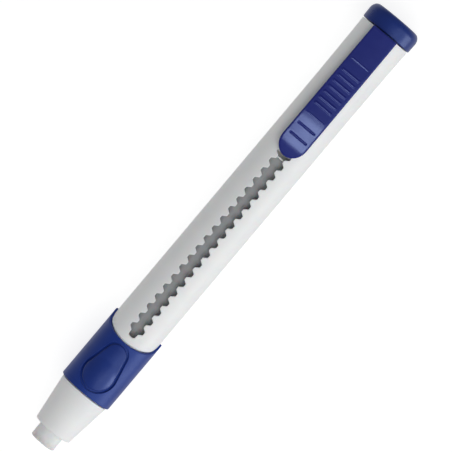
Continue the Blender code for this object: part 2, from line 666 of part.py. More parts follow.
def main():
    white = material("white_abs", (0.83, 0.84, 0.85), 0.25)
    navy = material("navy_abs", (0.02, 0.03, 0.16), 0.28)
    clip_blue = material("clip_abs", (0.022, 0.026, 0.15), 0.25)
    grip = material("grip_rubber", (0.03, 0.055, 0.31), 0.45)
    natural = material("natural_acetal", (0.75, 0.75, 0.72), 0.4)
    vinyl = material("eraser_vinyl", (0.72, 0.72, 0.70), 0.7)
    steel = material("spring_steel", (0.6, 0.6, 0.62), 0.3, 1.0)

    holder = empty("holder", place(TOTAL_LENGTH / 2))
    attach([build_barrel(white), build_nose(white), build_sleeve(grip), build_cap(navy),
            build_pad("front_grip_pad", 1, grip), build_pad("back_grip_pad", -1, grip)], holder)
    carriage = empty("carriage", place(LATCH_STATION), holder)
    attach([build_carrier(natural), build_spring(steel)], carriage)
    slider = empty("slider", place(PIVOT_STATION, PIVOT_HEIGHT), carriage)
    attach([build_clip(clip_blue), build_foot(natural)], slider)
    refill = empty("refill", place(ERASER_END), carriage)
    attach([build_eraser(vinyl)], refill)


for leftover in list(bpy.data.objects):
    bpy.data.objects.remove(leftover, do_unlink=True)
PARTS = bpy.data.collections.new("eraser_holder")
CUTTERS = bpy.data.collections.new("cutters")
bpy.context.scene.collection.children.link(PARTS)
bpy.context.scene.collection.children.link(CUTTERS)
main()
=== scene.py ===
"""Looks for the stick-eraser holder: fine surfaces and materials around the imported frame.

The holder lies on its back on a pale floor, with its slot and clip up.  Every place comes from the frame
or from a distance along the barrel's axis; heights named "radial" are measured from that axis.
"""

import json
import math

import bmesh
import bpy
import numpy as np
from mathutils import Matrix, Vector, noise


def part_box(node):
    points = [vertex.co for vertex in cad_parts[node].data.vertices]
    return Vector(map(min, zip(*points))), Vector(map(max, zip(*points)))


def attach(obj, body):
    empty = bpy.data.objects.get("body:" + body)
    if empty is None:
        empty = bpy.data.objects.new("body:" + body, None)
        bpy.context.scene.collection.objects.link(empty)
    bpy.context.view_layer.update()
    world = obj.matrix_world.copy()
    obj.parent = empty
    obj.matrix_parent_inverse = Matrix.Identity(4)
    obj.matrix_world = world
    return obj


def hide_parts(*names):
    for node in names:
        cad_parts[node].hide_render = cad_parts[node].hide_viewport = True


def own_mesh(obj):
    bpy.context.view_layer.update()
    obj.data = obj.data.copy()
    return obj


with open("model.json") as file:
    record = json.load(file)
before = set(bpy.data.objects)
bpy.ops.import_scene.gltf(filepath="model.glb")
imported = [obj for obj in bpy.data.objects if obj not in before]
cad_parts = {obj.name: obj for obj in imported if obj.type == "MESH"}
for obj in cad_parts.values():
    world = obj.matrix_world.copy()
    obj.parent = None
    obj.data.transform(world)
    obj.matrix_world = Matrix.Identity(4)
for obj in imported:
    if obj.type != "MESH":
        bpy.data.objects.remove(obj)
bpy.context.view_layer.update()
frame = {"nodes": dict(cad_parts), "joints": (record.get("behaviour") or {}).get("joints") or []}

MM = 0.001

# ---------------------------------------------------------------- places read from the frame

joints = {joint["name"]: joint for joint in frame["joints"]}
eraser_low, eraser_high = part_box("eraser_stick")
barrel_low, barrel_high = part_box("barrel")
sleeve_low, sleeve_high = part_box("grip_sleeve")
nose_low, nose_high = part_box("nose_cone")
cap_low, cap_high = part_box("end_cap")
clip_low, clip_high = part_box("slide_clip")
foot_low, foot_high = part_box("latch_foot")
spring_low, spring_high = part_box("return_spring")
pad_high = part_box("front_grip_pad")[1]

AXIS_Z = (eraser_low.z + eraser_high.z) / 2
TIP_X = eraser_low.x
TRAVEL_NOTCHES = 18
NOTCH_PITCH = joints["carriage_slide"]["range_m"][1] / TRAVEL_NOTCHES
NOTCH_COUNT = TRAVEL_NOTCHES + 2
LATCH_X = (foot_low.x + foot_high.x) / 2
FIRST_NOTCH_X = LATCH_X - (NOTCH_COUNT - 1) * NOTCH_PITCH
PIVOT = Vector(joints["clip_press"]["pos_m"])
PRESS_SLOPE = math.tan(math.radians(joints["clip_press"]["range_deg"][1]))

# ---------------------------------------------------------------- driving dimensions

AROUND = 160                       # points around a turned surface
CUT_BOTTOM = 2.0 * MM              # radial heights between which a cutter reaches through a wall
CUT_TOP = 9.0 * MM

# Barrel and slot
BARREL_RADIUS = 6.18 * MM
BARREL_REAR_RADIUS = (barrel_high.y - barrel_low.y) / 2
BORE_RADIUS = 5.0 * MM
WAIST_RADIUS = 5.6 * MM
FLARE_LENGTH = 21.9 * MM
SLOT_HALF_WIDTH = 0.9 * MM
NOTCH_HALF_WIDTH = 1.83 * MM
NOTCH_FLOOR = 0.8 * MM
NOTCH_MOUTH = 2.05 * MM
NOTCH_CORNER = 0.25 * MM
SLOT_LEAD = 2.35 * MM              # slot's round front end ahead of the first notch's middle
SLOT_FILLET = 0.12 * MM

# Grip
SLEEVE_RADIUS = (sleeve_high.y - sleeve_low.y) / 2
SLEEVE_INNER_RADIUS = 5.75 * MM
HORN_X = sleeve_high.x
HORN_RISE = 4.4 * MM               # how far the upper edge climbs from the middle to the horns
HORN_STEADY_SHARE = 0.53           # share of the climb that grows evenly; the rest comes close to the horns
HORN_POWER = 6
HORN_SOFTNESS = 0.03
RIM_GAP = 0.25 * MM
EGG_WIDE_X = TIP_X + 20.65 * MM
EGG_WIDE_RADIUS = 3.98 * MM
EGG_NARROW_X = TIP_X + 26.45 * MM
EGG_NARROW_RADIUS = 2.70 * MM
EGG_GAP = 0.25 * MM
POCKET_FLOOR_RADIUS = 6.1 * MM
POCKET_FILLET = 0.16 * MM
PAD_INNER_RADIUS = 6.2 * MM
PAD_RADIUS = 6.61 * MM
PAD_CROWN_HEIGHT = pad_high.z - AXIS_Z
PAD_CROWN_X = TIP_X + 20.45 * MM
PAD_CROWN_HALF_LENGTH = 7.6 * MM
PAD_CROWN_HALF_WIDTH = 4.8 * MM
PAD_CROWN_BLEND = 0.22 * MM

# Nose, eraser and cap
NOSE_MOUTH_RADIUS = 4.72 * MM
NOSE_SHOULDER_X = sleeve_low.x - 0.2 * MM
NOSE_SHOULDER_RADIUS = (nose_high.y - nose_low.y) / 2
SPIGOT_RADIUS = 4.85 * MM
GUIDE_RADIUS = 3.35 * MM
ERASER_RADIUS = (eraser_high.y - eraser_low.y) / 2
CAP_RADIUS = (cap_high.y - cap_low.y) / 2
CAP_FRONT_X = barrel_high.x + 0.25 * MM
CAP_CORNER_LENGTH = 1.9 * MM
CAP_CORNER_DEPTH = 1.5 * MM
PLUG_RADIUS = 4.85 * MM
PLUG_HOLLOW_RADIUS = 3.6 * MM
CAP_WALL = 1.6 * MM

# Clip
CLIP_REAR_HALF_WIDTH = 3.3 * MM
CLIP_FRONT_HALF_WIDTH = 3.38 * MM
CLIP_NOSE_LENGTH = 3.9 * MM
CLIP_EDGE = 0.4 * MM
CLIP_CROWN = 0.1 * MM
CLIP_END_EDGE = 0.3 * MM
SADDLE_RADIUS = 6.75 * MM
SKIRT_HEIGHT = 6.1 * MM
CLIP_MIN_THICKNESS = 0.3 * MM
RIB_HALF_WIDTH = 2.4 * MM
RIB_FADE = (0.2 * MM, 0.15 * MM)   # ribs fade out from this far inside their half width to this far outside
NECK_TOP = 8.3 * MM                # inside the clip's body, as a radial height
NECK_END = 3.02 * MM
NECK_HALF_LENGTH = 1.5 * MM
POST_HALF_WIDTH = 0.7 * MM
BARB = 0.4 * MM                    # how far the barbs under the foot stick out past the neck
BARB_THICKNESS = 0.2 * MM
HEEL_BAR_RADIUS = 0.9 * MM
HEEL_BAR_HALF_WIDTH = 2.5 * MM
# The clip's upper line: distance from its rear end and radial height, in mm
CLIP_LINE = ((0.0, 8.2), (8.4, 8.8), (20.15, 9.72), (24.2, 10.0), (25.4, 9.97), (26.4, 9.88), (27.2, 9.8),
             (29.6, 9.66), (30.5, 9.6), (31.8, 9.46), (32.6, 9.3), (35.15, 8.5))
# Ribs, fine lines and grooves across the clip: distances from its rear end, then half length and height in mm
RIBS = ([11.9 + 1.59 * step for step in range(7)], 0.36, 0.16)
FINE_LINES = ([8.7, 24.2], 0.22, 0.07)
GROOVES = ([27.2, 30.05], 0.3, 0.16)

# Spring
SPRING_WIRE_RADIUS = 0.175 * MM
SPRING_TURNS = 6

# Studio: brightness as a share of what makes a white surface fully bright
AMBIENT = 0.13
ROOM_REFLECTED = 0.12
GROUND_REFLECTED = 0.55
ROOM_ABOVE = -0.1                  # the room and the ground meet softly between these two heights of a
GROUND_BELOW = -0.6                # direction's unit vector
FLOOR_GLOW = 0.83
BACKDROP = 0.93


# ---------------------------------------------------------------- mesh helpers

def add_object(name, vertices, faces, smooth_angle=35.0):
    """Mesh object with smooth faces and sharp edges above the angle in degrees."""
    mesh = bpy.data.meshes.new(name)
    mesh.from_pydata([tuple(v) for v in vertices], [], faces)
    mesh.validate()
    shaper = bmesh.new()
    shaper.from_mesh(mesh)
    bmesh.ops.remove_doubles(shaper, verts=shaper.verts, dist=1e-7)
    bmesh.ops.recalc_face_normals(shaper, faces=shaper.faces)
    shaper.to_mesh(mesh)
    shaper.free()
    finish_shading(mesh, smooth_angle)
    obj = bpy.data.objects.new(name, mesh)
    bpy.context.scene.collection.objects.link(obj)
    return obj


def finish_shading(mesh, smooth_angle=35.0):
    """Smooth shading with sharp edges above the angle."""
    mesh.shade_smooth()
    mesh.set_sharp_from_angle(angle=math.radians(smooth_angle))


def loft(name, rings, wrap=False, smooth_angle=35.0):
    """Closed skin through rings of equal length; wrap joins the last ring to the first, else fans cap it."""
    count = len(rings[0])
    vertices = [point for ring in rings for point in ring]
    faces = []
    spans = len(rings) if wrap else len(rings) - 1
    for row in range(spans):
        here = row * count
        there = ((row + 1) % len(rings)) * count
        for index in range(count):
            after = (index + 1) % count
            faces.append((here + index, here + after, there + after, there + index))
    if not wrap:
        for row in (0, len(rings) - 1):
            middle = np.mean(np.array([tuple(p) for p in rings[row]]), axis=0)
            vertices.append(tuple(middle))
            centre = len(vertices) - 1
            start = row * count
            for index in range(count):
                faces.append((start + index, start + (index + 1) % count, centre))
    return add_object(name, vertices, faces, smooth_angle)


def swept(name, profile_at, around=AROUND, wrap=True, smooth_angle=35.0):
    """Skin turned about the barrel's axis; profile_at(angle) gives (x, radius) points, 0 is straight up."""
    angles = [2 * math.pi * index / around for index in range(around)]
    profiles = [profile_at(angle) for angle in angles]
    rings = []
    for index in range(len(profiles[0])):
        ring = []
        for angle, profile in zip(angles, profiles):
            x, radius = profile[index]
            ring.append((x, radius * math.sin(angle), AXIS_Z + radius * math.cos(angle)))
        rings.append(ring)
    return loft(name, rings, wrap, smooth_angle)


def fillet(points, radii, steps=5, closed=True):
    """Polygon with its corners rounded; radii has one radius for each corner."""
    result = []
    count = len(points)
    for index, (corner, radius) in enumerate(zip(points, radii)):
        if radius <= 0 or (not closed and index in (0, count - 1)):
            result.append(tuple(corner))
            continue
        here = Vector(corner)
        before = (Vector(points[index - 1]) - here)
        after = (Vector(points[(index + 1) % count]) - here)
        half = before.angle(after) / 2
        reach = min(radius / math.tan(half), 0.48 * before.length, 0.48 * after.length)
        actual = reach * math.tan(half)
        middle = here + (before.normalized() + after.normalized()).normalized() * (actual / math.sin(half))
        first = here + before.normalized() * reach - middle
        last = here + after.normalized() * reach - middle
        turn = first.angle_signed(last)
        for step in range(steps + 1):
            arm = first.copy()
            arm.rotate(Matrix.Rotation(-turn * step / steps, 2))
            result.append(tuple(middle + arm))
    return result


def stretched(start, end, steps):
    """Evenly spaced points strictly between two points."""
    return [tuple(Vector(start).lerp(Vector(end), step / steps)) for step in range(1, steps)]


def subdivided(profile, spacing):
    """Profile with long straight stretches broken into short ones."""
    result = []
    for first, second in zip(profile, profile[1:] + profile[:1]):
        result.append(first)
        length = (Vector(second) - Vector(first)).length
        pieces = max(1, round(length / spacing))
        result += stretched(first, second, pieces)
    return result


def cut_out(obj, tool):
    """Cut the tool's volume out of the object's mesh; the tool is removed."""
    step = obj.modifiers.new("cut", "BOOLEAN")
    step.operation = "DIFFERENCE"
    step.solver = "EXACT"
    step.object = tool
    bpy.context.view_layer.update()
    result = bpy.data.meshes.new_from_object(obj.evaluated_get(bpy.context.evaluated_depsgraph_get()))
    obj.modifiers.remove(step)
    obj.data = result
    bpy.data.objects.remove(tool, do_unlink=True)
    finish_shading(obj.data)
    return obj


def flared_cutter(name, outline, surface_radius, edge, side=1, floor_radius=None):
    """Cutter with a flat outline whose walls flare into a fillet where they meet a cylinder.

    surface_radius(x) is the cylinder's radius; side is 1 to cut from above and -1 from below.  With a
    floor_radius the cut is a pocket that ends on that inner cylinder, else it goes right through.
    """
    flat = [Vector(point) for point in outline]
    count = len(flat)
    area = sum(a.x * b.y - b.x * a.y for a, b in zip(flat, flat[1:] + flat[:1]))
    sign = 1 if area > 0 else -1
    normals = []
    for index in range(count):
        along = (flat[(index + 1) % count] - flat[index - 1]).normalized()
        normals.append(Vector((along.y, -along.x)) * sign)

    def ring(grow, depth=None, height=None):
        points = []
        for point, normal in zip(flat, normals):
            moved = point + normal * grow
            if height is None:
                radius = surface_radius(moved.x)
                rise = math.sqrt(max(radius * radius - moved.y * moved.y, 0.0)) - depth
            else:
                rise = height
            points.append((moved.x, moved.y, AXIS_Z + side * rise))
        return points

    def floor_ring(share):
        middle = sum(flat, Vector((0.0, 0.0))) / count
        points = []
        for point in flat:
            x, y = middle + (point - middle) * share
            points.append((x, y, AXIS_Z + side * math.sqrt(floor_radius ** 2 - y ** 2)))
        return points

    if floor_radius is None:
        rings = [ring(0.0, height=CUT_BOTTOM)]
    else:
        floor_steps = 8
        rings = [floor_ring(step / floor_steps) for step in range(1, floor_steps + 1)]
    arc_steps = 5
    arc_end = math.radians(72)
    for step in range(arc_steps + 1):
        angle = arc_end * step / arc_steps
        rings.append(ring(edge * (1 - math.cos(angle)), depth=edge * (1 - math.sin(angle))))
    slope = math.tan(math.pi / 2 - arc_end)
    over = 0.3 * MM
    last_grow = edge * (1 - math.cos(arc_end))
    last_depth = edge * (1 - math.sin(arc_end))
    # the flare runs on a little past the surface, then the cutter's walls go straight up
    rings.append(ring(last_grow + (last_depth / slope + over) / 2, depth=-over * slope / 2))
    rings.append(ring(last_grow, height=CUT_TOP))
    return loft(name, rings)


# ---------------------------------------------------------------- surfaces

def barrel_radius(x):
    """Outer radius: straight, with a slight flare toward the cap."""
    part = max(0.0, (x - (barrel_high.x - FLARE_LENGTH)) / FLARE_LENGTH)
    return BARREL_RADIUS + (BARREL_REAR_RADIUS - BARREL_RADIUS) * part * part


def sleeve_edge(angle):
    """Where the sleeve's U-shaped edge lies: lowest at the front and back, highest at the sides."""
    toward_side = max(0.0, 1 - math.hypot(math.cos(angle), HORN_SOFTNESS)) / (1 - HORN_SOFTNESS)
    climb = HORN_STEADY_SHARE * toward_side + (1 - HORN_STEADY_SHARE) * toward_side ** HORN_POWER
    return HORN_X - HORN_RISE * (1 - climb)


def slot_outline():
    """Rounded outline of the toothed slot, from its front end round to the rear and back."""
    front = FIRST_NOTCH_X - SLOT_LEAD
    half = [(front, SLOT_HALF_WIDTH)]
    radii = [SLOT_HALF_WIDTH * 0.98]
    for index in range(NOTCH_COUNT):
        centre = FIRST_NOTCH_X + index * NOTCH_PITCH
        for offset, width in ((-NOTCH_MOUTH / 2, SLOT_HALF_WIDTH), (-NOTCH_FLOOR / 2, NOTCH_HALF_WIDTH),
                              (NOTCH_FLOOR / 2, NOTCH_HALF_WIDTH), (NOTCH_MOUTH / 2, SLOT_HALF_WIDTH)):
            half.append((centre + offset, width))
            radii.append(NOTCH_CORNER)
    half.append((barrel_high.x + 2.0 * MM, SLOT_HALF_WIDTH))
    radii.append(0.0)
    other = [(x, -y) for x, y in reversed(half)]
    return fillet(half + other, radii + list(reversed(radii)), steps=5)


def egg_outline(offset):
    """Hull of the wide and the narrow circle, grown by offset."""
    lean = math.asin((EGG_WIDE_RADIUS - EGG_NARROW_RADIUS) / (EGG_NARROW_X - EGG_WIDE_X))
    tangent = math.pi / 2 - lean
    points = []
    wide_steps = 60
    narrow_steps = 36
    straight_steps = 14
    for step in range(wide_steps + 1):
        angle = tangent + (2 * math.pi - 2 * tangent) * step / wide_steps
        radius = EGG_WIDE_RADIUS + offset
        points.append((EGG_WIDE_X + radius * math.cos(angle), radius * math.sin(angle)))
    narrow = []
    for step in range(narrow_steps + 1):
        angle = -tangent + 2 * tangent * step / narrow_steps
        radius = EGG_NARROW_RADIUS + offset
        narrow.append((EGG_NARROW_X + radius * math.cos(angle), radius * math.sin(angle)))
    points += stretched(points[-1], narrow[0], straight_steps) + narrow
    points += stretched(narrow[-1], points[0], straight_steps)
    return points


# ---------------------------------------------------------------- pieces of the casing

def build_barrel():
    """White tube, stepped down under the sleeve, with the toothed slot."""
    front = barrel_low.x
    rear = barrel_high.x
    long_steps = 120
    edge = 0.12 * MM

    def profile(angle):
        shoulder = sleeve_edge(angle) + RIM_GAP
        foot = (shoulder, WAIST_RADIUS)
        lip = (shoulder, BARREL_RADIUS)
        beyond = (shoulder + 2 * MM, BARREL_RADIUS)
        corners = [(front, BORE_RADIUS), (front, WAIST_RADIUS), foot, lip]
        start = fillet(corners, [0.0, edge, 0.0, edge], steps=4, closed=False)[:-1]
        start += fillet([foot, lip, beyond], [0.0, edge, 0.0], steps=4, closed=False)[1:-1]
        first = start[-1][0] + 0.3 * MM
        last = rear - 2 * edge
        for step in range(long_steps + 1):
            x = first + (last - first) * step / long_steps
            start.append((x, barrel_radius(x)))
        end = fillet([(last, barrel_radius(last)), (rear, barrel_radius(rear)), (rear, BORE_RADIUS)],
                     [0.0, edge, 0.0], steps=4, closed=False)[1:]
        bore_steps = 40
        return start + end + stretched((rear, BORE_RADIUS), (front, BORE_RADIUS), bore_steps)

    barrel = swept("barrel_shell", profile)
    cutter = flared_cutter("slot_cutter", slot_outline(), barrel_radius, SLOT_FILLET)
    return cut_out(barrel, cutter)


def build_sleeve():
    """Soft grip sleeve with its U-shaped edge and the two pad pockets."""
    front = sleeve_low.x

    def profile(angle):
        rear = sleeve_edge(angle)
        corners = [(front, SLEEVE_INNER_RADIUS), (front, SLEEVE_RADIUS), (rear, SLEEVE_RADIUS),
                   (rear, SLEEVE_INNER_RADIUS)]
        steps = 6
        rounded = fillet(corners, [0.1 * MM, 0.25 * MM, 0.28 * MM, 0.1 * MM], steps=steps)
        front_count = 2 * (steps + 1)      # the points of the two front corners come first
        side_points = stretched(rounded[front_count - 1], rounded[front_count], 40)
        inner_points = stretched(rounded[-1], rounded[0], 12)
        return rounded[:front_count] + side_points + rounded[front_count:] + inner_points

    sleeve = swept("grip_sleeve_skin", profile)
    for side in (1, -1):
        cutter = flared_cutter("pocket_cutter", egg_outline(EGG_GAP), lambda x: SLEEVE_RADIUS,
                               POCKET_FILLET, side, POCKET_FLOOR_RADIUS)
        cut_out(sleeve, cutter)
    return sleeve


def pad_height(x, y):
    """Radial height of a pad's surface: flush with the sleeve, running softly up into its crown."""
    flush = math.sqrt(PAD_RADIUS ** 2 - y * y)
    inside = 1 - ((x - PAD_CROWN_X) / PAD_CROWN_HALF_LENGTH) ** 2 - (y / PAD_CROWN_HALF_WIDTH) ** 2
    crown = PAD_CROWN_HEIGHT + PAD_CROWN_HALF_WIDTH * (math.sqrt(max(inside, 0.0)) - 1)
    share = min(1.0, max(0.0, 0.5 + (crown - flush) / (2 * PAD_CROWN_BLEND)))
    return flush + (crown - flush) * share + PAD_CROWN_BLEND * share * (1 - share)


def build_pad(name, side):
    """Crowned egg-shaped pad: rings from its middle out to a rounded rim and down its side."""
    outline = egg_outline(-EGG_GAP)
    middle = Vector((EGG_WIDE_X + 1.4 * MM, 0.0))
    rim = 0.3 * MM
    rings = []

    def ring(grow, share, drop):
        points = []
        for x, y in outline:
            flat = middle + (Vector((x, y)) - middle) * share
            out = (Vector((x, y)) - middle).normalized()
            flat -= out * grow
            points.append((flat.x, flat.y, AXIS_Z + side * (pad_height(flat.x, flat.y) - drop)))
        return points

    inner_steps = 34
    for step in range(1, inner_steps + 1):
        share = 0.93 * step / inner_steps
        rings.append(ring(0.0, share, 0.0))
    rim_steps = 7
    for step in range(rim_steps + 1):
        angle = math.pi / 2 * step / rim_steps
        rings.append(ring(rim * (1 - math.sin(angle)), 1.0, rim * (1 - math.cos(angle))))
    floor = []
    for x, y in outline:
        floor.append((x, y, AXIS_Z + side * math.sqrt(PAD_INNER_RADIUS ** 2 - y * y)))
    rings.append(floor)
    return loft(name, rings)


def build_nose():
    """Tapered nose with a soft lip, a shoulder and the spigot inside the barrel."""
    corners = [(nose_low.x, GUIDE_RADIUS), (nose_low.x, NOSE_MOUTH_RADIUS),
               (NOSE_SHOULDER_X, NOSE_SHOULDER_RADIUS), (NOSE_SHOULDER_X, SPIGOT_RADIUS),
               (nose_high.x, SPIGOT_RADIUS), (nose_high.x, GUIDE_RADIUS)]
    radii = [0.45 * MM, 0.4 * MM, 0.18 * MM, 0.0, 0.3 * MM, 0.1 * MM]
    points = subdivided(fillet(corners, radii, steps=7), 0.6 * MM)
    return swept("nose_cone_skin", lambda angle: points)


def build_eraser():
    """Round vinyl stick: its tip is rounded over and a little uneven from use."""
    corners = [(eraser_low.x, 0.0), (eraser_low.x, ERASER_RADIUS), (eraser_high.x, ERASER_RADIUS),
               (eraser_high.x, 0.0)]
    points = subdivided(fillet(corners, [0.0, 0.35 * MM, 0.2 * MM, 0.0], steps=7, closed=False), 0.35 * MM)
    points = [point for point in points if point[1] > 0.1 * MM]
    eraser = swept("eraser_stick_skin", lambda angle: points, around=96, wrap=False)
    worn_length = 1.5 * MM
    for vertex in eraser.data.vertices:
        near_tip = max(0.0, 1 - (vertex.co.x - eraser_low.x) / worn_length)
        grain = noise.noise(vertex.co * 900) * 0.05 * MM + noise.noise(vertex.co * 3000) * 0.02 * MM
        vertex.co.x += abs(grain) * near_tip * 2.0
        across = Vector((0.0, vertex.co.y, vertex.co.z - AXIS_Z))
        vertex.co -= across.normalized() * abs(grain) * near_tip
    return eraser


def build_cap():
    """End cap with a slight draft, a rounded far end and a hollow plug."""
    front = CAP_FRONT_X
    rear = cap_high.x
    shoulder = (rear - CAP_CORNER_LENGTH, CAP_RADIUS)
    corners = [(rear - CAP_WALL, 0.0), (rear - CAP_WALL, PLUG_HOLLOW_RADIUS), (cap_low.x, PLUG_HOLLOW_RADIUS),
               (cap_low.x, PLUG_RADIUS), (front, PLUG_RADIUS), (front, CAP_RADIUS - 0.05 * MM), shoulder]
    radii = [0.0, 0.3 * MM, 0.1 * MM, 0.3 * MM, 0.0, 0.28 * MM, 0.0]
    points = fillet(corners, radii, steps=8, closed=False)
    corner_steps = 14
    for step in range(1, corner_steps + 1):
        angle = math.pi / 2 * step / corner_steps
        points.append((shoulder[0] + CAP_CORNER_LENGTH * math.sin(angle),
                       shoulder[1] - CAP_CORNER_DEPTH * (1 - math.cos(angle))))
    points.append((rear, 0.0))
    points = [point for point in subdivided(points, 0.5 * MM) if point[1] > 0.1 * MM]
    return swept("end_cap_skin", lambda angle: points, wrap=False)


# ---------------------------------------------------------------- clip and its latch

def smooth_step(low, high, value):
    """0 below low, 1 above high, smooth between."""
    part = min(1.0, max(0.0, (value - low) / (high - low)))
    return part * part * (3 - 2 * part)


def clip_line(distance):
    """Radial height of the clip's upper line, smoothed, at a distance from its rear end in mm."""
    reach = 0.45
    samples = [distance + reach * offset / 4 for offset in range(-4, 5)]
    stations = [station for station, height in CLIP_LINE]
    heights = [height for station, height in CLIP_LINE]
    return float(np.mean(np.interp(samples, stations, heights)))


def clip_relief(distance, y):
    """Rounded ribs stand above the surface, V-shaped grooves sink into it; both end near the clip's sides."""
    relief = 0.0
    for places, half_length, height in (RIBS, FINE_LINES):
        for place in places:
            relief += height * max(0.0, 1 - ((distance - place) / half_length) ** 2)
    places, half_length, depth = GROOVES
    for place in places:
        relief -= depth * max(0.0, 1 - abs(distance - place) / half_length)
    window = 1 - smooth_step(RIB_HALF_WIDTH - RIB_FADE[0], RIB_HALF_WIDTH + RIB_FADE[1], abs(y))
    return relief * window * MM


def edge_drop(distance, edge):
    """How far a rounded edge falls at a distance inside the outline."""
    if distance >= edge:
        return 0.0
    inside = edge - max(distance, 0.0)
    return edge - math.sqrt(edge * edge - inside * inside)


def build_clip():
    """Slide clip as an upper and a lower surface over one plan outline, joined by a wall."""
    rear = clip_high.x
    front = clip_low.x
    nose_start = front + CLIP_NOSE_LENGTH
    straight_rows = 480
    nose_rows = 40
    rows = []
    for step in range(straight_rows + 1):
        x = rear + (nose_start - rear) * step / straight_rows
        part = step / straight_rows
        rows.append((x, CLIP_REAR_HALF_WIDTH + (CLIP_FRONT_HALF_WIDTH - CLIP_REAR_HALF_WIDTH) * part))
    last_angle = 88.5
    for step in range(1, nose_rows + 1):
        angle = math.radians(last_angle * step / nose_rows)
        x = nose_start - CLIP_NOSE_LENGTH * math.sin(angle)
        rows.append((x, CLIP_FRONT_HALF_WIDTH * math.cos(angle)))
    # a few close rows at the rear end carry its small rounding
    end_rows = [(rear - CLIP_END_EDGE * part, CLIP_REAR_HALF_WIDTH) for part in (0.0, 0.08, 0.2, 0.4, 0.7)]
    rows = end_rows + [row for row in rows if row[0] < rear - CLIP_END_EDGE * 0.9]

    across_steps = 56
    shares = []
    for step in range(across_steps + 1):
        even = -1 + 2 * step / across_steps
        shares.append(0.45 * even + 0.55 * math.sin(even * math.pi / 2))

    def outline_distance(x, y, half_width):
        if x >= nose_start:
            return half_width - abs(y)
        along = (nose_start - x) / CLIP_NOSE_LENGTH
        across = y / CLIP_FRONT_HALF_WIDTH
        return (1 - math.sqrt(along * along + across * across)) * CLIP_FRONT_HALF_WIDTH

    def upper(x, y, half_width):
        from_rear = (rear - x) / MM
        crown = CLIP_CROWN * (y / CLIP_FRONT_HALF_WIDTH) ** 2
        inside = outline_distance(x, y, half_width)
        drop = edge_drop(inside, CLIP_EDGE) + edge_drop(rear - x, CLIP_END_EDGE)
        return clip_line(from_rear) * MM - crown + clip_relief(from_rear, y) - min(drop, CLIP_EDGE)

    def lower(x, y, half_width):
        tilt = (PIVOT.x - x) * PRESS_SLOPE
        saddle = math.sqrt(SADDLE_RADIUS ** 2 - y * y) + tilt
        skirt = SKIRT_HEIGHT + (rear - x) * PRESS_SLOPE
        edge_height = clip_line((rear - x) / MM) * MM - CLIP_EDGE - CLIP_MIN_THICKNESS
        return min(max(saddle, skirt), edge_height)

    vertices = []
    width = len(shares)
    for surface in (upper, lower):
        for x, half_width in rows:
            for share in shares:
                y = share * half_width
                vertices.append((x, y, AXIS_Z + surface(x, y, half_width)))
    count = len(rows)
    faces = []
    for layer in (0, 1):
        base = layer * count * width
        for row in range(count - 1):
            for column in range(width - 1):
                corner = base + row * width + column
                faces.append((corner, corner + 1, corner + width + 1, corner + width))
    rim = list(range(width))
    rim += [row * width + width - 1 for row in range(1, count)]
    rim += [(count - 1) * width + column for column in range(width - 2, -1, -1)]
    rim += [row * width for row in range(count - 2, 0, -1)]
    below = count * width
    for first, second in zip(rim, rim[1:] + rim[:1]):
        faces.append((first, second, second + below, first + below))
    return add_object("slide_clip_skin", vertices, faces, smooth_angle=50.0)


def rounded_rectangle(x, y, half_length, half_width, corner):
    """Flat ring of points around a rectangle with round corners."""
    corners = [(x - half_length, y - half_width), (x + half_length, y - half_width),
               (x + half_length, y + half_width), (x - half_length, y + half_width)]
    return fillet(corners, [corner] * 4, steps=5)


def build_post(name, x, sections, corner):
    """Upright post through the slot; sections are (radial height, half length, half width), top to bottom."""
    rings = []
    for height, half_length, half_width in sections:
        flat = rounded_rectangle(x, 0.0, half_length, half_width, corner)
        rings.append([(px, py, AXIS_Z + height) for px, py in flat])
    return loft(name, rings, smooth_angle=30.0)


def build_clip_posts():
    """Latch neck with its barbed end, and the heel's neck with the bar that rocks in the cradle."""
    barb_top = NECK_END + BARB_THICKNESS
    neck_sections = [(NECK_TOP, NECK_HALF_LENGTH, POST_HALF_WIDTH),
                     (3.4 * MM, NECK_HALF_LENGTH, POST_HALF_WIDTH),
                     (barb_top + 0.03 * MM, NECK_HALF_LENGTH, POST_HALF_WIDTH),
                     (barb_top, NECK_HALF_LENGTH + BARB - 0.02 * MM, POST_HALF_WIDTH),
                     (barb_top - 0.1 * MM, NECK_HALF_LENGTH + BARB, POST_HALF_WIDTH),
                     (NECK_END, NECK_HALF_LENGTH + BARB - 0.15 * MM, POST_HALF_WIDTH * 0.9)]
    neck = build_post("clip_latch_neck", LATCH_X, neck_sections, 0.15 * MM)
    heel_sections = [(7.2 * MM, 1.1 * MM, POST_HALF_WIDTH), (6.4 * MM, 0.85 * MM, POST_HALF_WIDTH),
                     (5.0 * MM, 0.8 * MM, POST_HALF_WIDTH), (3.3 * MM, 0.7 * MM, POST_HALF_WIDTH)]
    heel = build_post("clip_heel_neck", PIVOT.x, heel_sections, 0.2 * MM)
    bar_corners = [(-HEEL_BAR_HALF_WIDTH, 0.0), (-HEEL_BAR_HALF_WIDTH, HEEL_BAR_RADIUS),
                   (HEEL_BAR_HALF_WIDTH, HEEL_BAR_RADIUS), (HEEL_BAR_HALF_WIDTH, 0.0)]
    bar_edge = 0.2 * MM
    profile = fillet(bar_corners, [0.0, bar_edge, bar_edge, 0.0], steps=4, closed=False)
    rings = []
    around = 40
    for y, ring_radius in profile[1:-1]:
        ring = []
        for index in range(around):
            angle = 2 * math.pi * index / around
            ring.append((PIVOT.x + ring_radius * math.cos(angle), y, PIVOT.z + ring_radius * math.sin(angle)))
        rings.append(ring)
    bar = loft("clip_heel_bar", rings)
    return [neck, heel, bar]


